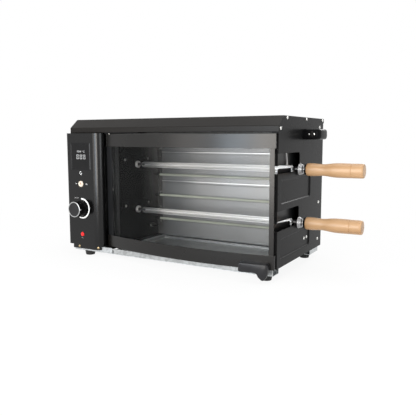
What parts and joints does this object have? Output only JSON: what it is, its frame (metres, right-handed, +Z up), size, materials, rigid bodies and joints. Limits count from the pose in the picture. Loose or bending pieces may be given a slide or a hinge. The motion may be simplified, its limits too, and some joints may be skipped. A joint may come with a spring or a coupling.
{
  "type": "electric skewer grill",
  "caption": "Countertop electric skewer grill with a bowed glass door, driven rotating skewers with wooden handles, a control column and a slide-out drip tray.",
  "frame": {"origin": "centre of the whole object's box at the height of the feet's undersides, so the object stands on z = 0", "axes": "+X to the right as seen from the front, towards the skewer handles; +Y to the back; +Z up; the glass door faces -Y"},
  "size_m": [0.705, 0.3157, 0.323],
  "materials": {
    "cover_paint": "semi-gloss black coat",
    "body_paint": "semi-gloss black coat",
    "panel_paint": "satin black coat",
    "door_paint": "satin dark coat",
    "oven_paint": "heat-proof black",
    "galvanised_steel": "spangled zinc",
    "tray_steel": "spangled zinc",
    "foot_rubber": "matt",
    "stainless_steel": "satin",
    "oven_steel": "satin",
    "heater_sheath": "matt, heat-toned",
    "probe_steel": "satin",
    "motor_zinc": "zinc-plated",
    "socket_steel": "turned",
    "skewer_steel": "ground",
    "skewer_chrome": "polished",
    "black_plastic": "fine grain",
    "switch_plastic": "plain",
    "beech_wood": "lacquered beech",
    "smoked_window": "gloss",
    "circuit_board": "solder mask",
    "knob_aluminium": "spun",
    "ivory_plastic": "plain",
    "red_lens": "clear red",
    "clear_glass": "toughened, curved",
    "screw_steel": "bright zinc",
    "brass_screw": "bright"
  },
  "bodies": {
    "body": {"top_cover": "cover_paint", "left_side_panel": "body_paint", "right_side_panel": "body_paint", "back_panel": "body_paint", "front_base_rail": "galvanised_steel", "rear_base_rail": "galvanised_steel", "tray_runners": "galvanised_steel", "feet": "foot_rubber", "left_bulkhead": "oven_paint", "left_jamb": "oven_paint", "right_inner_wall": "oven_paint", "back_reflector": "stainless_steel", "ceiling": "oven_steel", "heater_tube_top": "heater_sheath", "heater_tube_middle": "heater_sheath", "heater_tube_bottom": "heater_sheath", "heater_brackets": "oven_steel", "temperature_probe": "probe_steel", "gear_motor_upper": "motor_zinc", "gear_motor_lower": "motor_zinc", "control_panel": "panel_paint", "display_window": "smoked_window", "display_board": "circuit_board", "rotary_control": "motor_zinc", "power_switch": "switch_plastic", "indicator_lamp": "red_lens", "power_board": "circuit_board", "power_inlet": "switch_plastic", "upper_hinge_bracket": "body_paint", "lower_hinge_bracket": "galvanised_steel", "side_grip_left": "black_plastic", "side_grip_right": "black_plastic", "cover_screws": "screw_steel", "side_screws": "screw_steel", "control_screws": "brass_screw", "motor_screws": "screw_steel", "inlet_screws": "screw_steel"},
    "door": {"door_top_rail": "door_paint", "door_bottom_rail": "door_paint", "door_left_stile": "door_paint", "door_right_stile": "door_paint", "door_glass": "clear_glass", "glass_retainers": "body_paint", "door_handle": "black_plastic", "door_hinge_pins": "screw_steel", "door_grip_screws": "screw_steel"},
    "tray": {"drip_tray": "tray_steel"},
    "knob": {"knob": "black_plastic", "knob_cap": "knob_aluminium"},
    "power_button": {"power_button": "ivory_plastic"},
    "upper_socket": {"drive_socket_upper": "socket_steel"},
    "lower_socket": {"drive_socket_lower": "socket_steel"},
    "upper_skewer": {"skewer_blade_upper": "skewer_steel", "skewer_guard_upper": "skewer_chrome", "skewer_ferrule_upper": "black_plastic", "skewer_handle_upper": "beech_wood"},
    "lower_skewer": {"skewer_blade_lower": "skewer_steel", "skewer_guard_lower": "skewer_chrome", "skewer_ferrule_lower": "black_plastic", "skewer_handle_lower": "beech_wood"}
  },
  "joints": [
    {"name": "door_hinge", "type": "hinge", "parent": "body", "child": "door", "pos_m": [-0.2045, -0.1087, 0.025], "axis": [0, 0, -1], "range_deg": [0, 100]},
    {"name": "tray_slide", "type": "slide", "parent": "body", "child": "tray", "axis": [0, -1, 0], "range_m": [0, 0.2]},
    {"name": "knob_turn", "type": "hinge", "parent": "body", "child": "knob", "pos_m": [-0.275, -0.1312, 0.114], "axis": [0, 1, 0], "range_deg": [0, 270]},
    {"name": "button_press", "type": "slide", "parent": "body", "child": "power_button", "axis": [0, 1, 0], "range_m": [0, 0.002], "stiffness_N_per_m": 400},
    {"name": "upper_spin", "type": "hinge", "parent": "body", "child": "upper_socket", "pos_m": [-0.2045, -0.00815, 0.21457], "axis": [1, 0, 0], "continuous": true},
    {"name": "lower_spin", "type": "hinge", "parent": "body", "child": "lower_socket", "pos_m": [-0.2045, -0.00815, 0.10243], "axis": [1, 0, 0], "continuous": true},
    {"name": "upper_pull", "type": "slide", "parent": "upper_socket", "child": "upper_skewer", "axis": [1, 0, 0], "range_m": [0, 0.435]},
    {"name": "lower_pull", "type": "slide", "parent": "lower_socket", "child": "lower_skewer", "axis": [1, 0, 0], "range_m": [0, 0.435]}
  ]
}
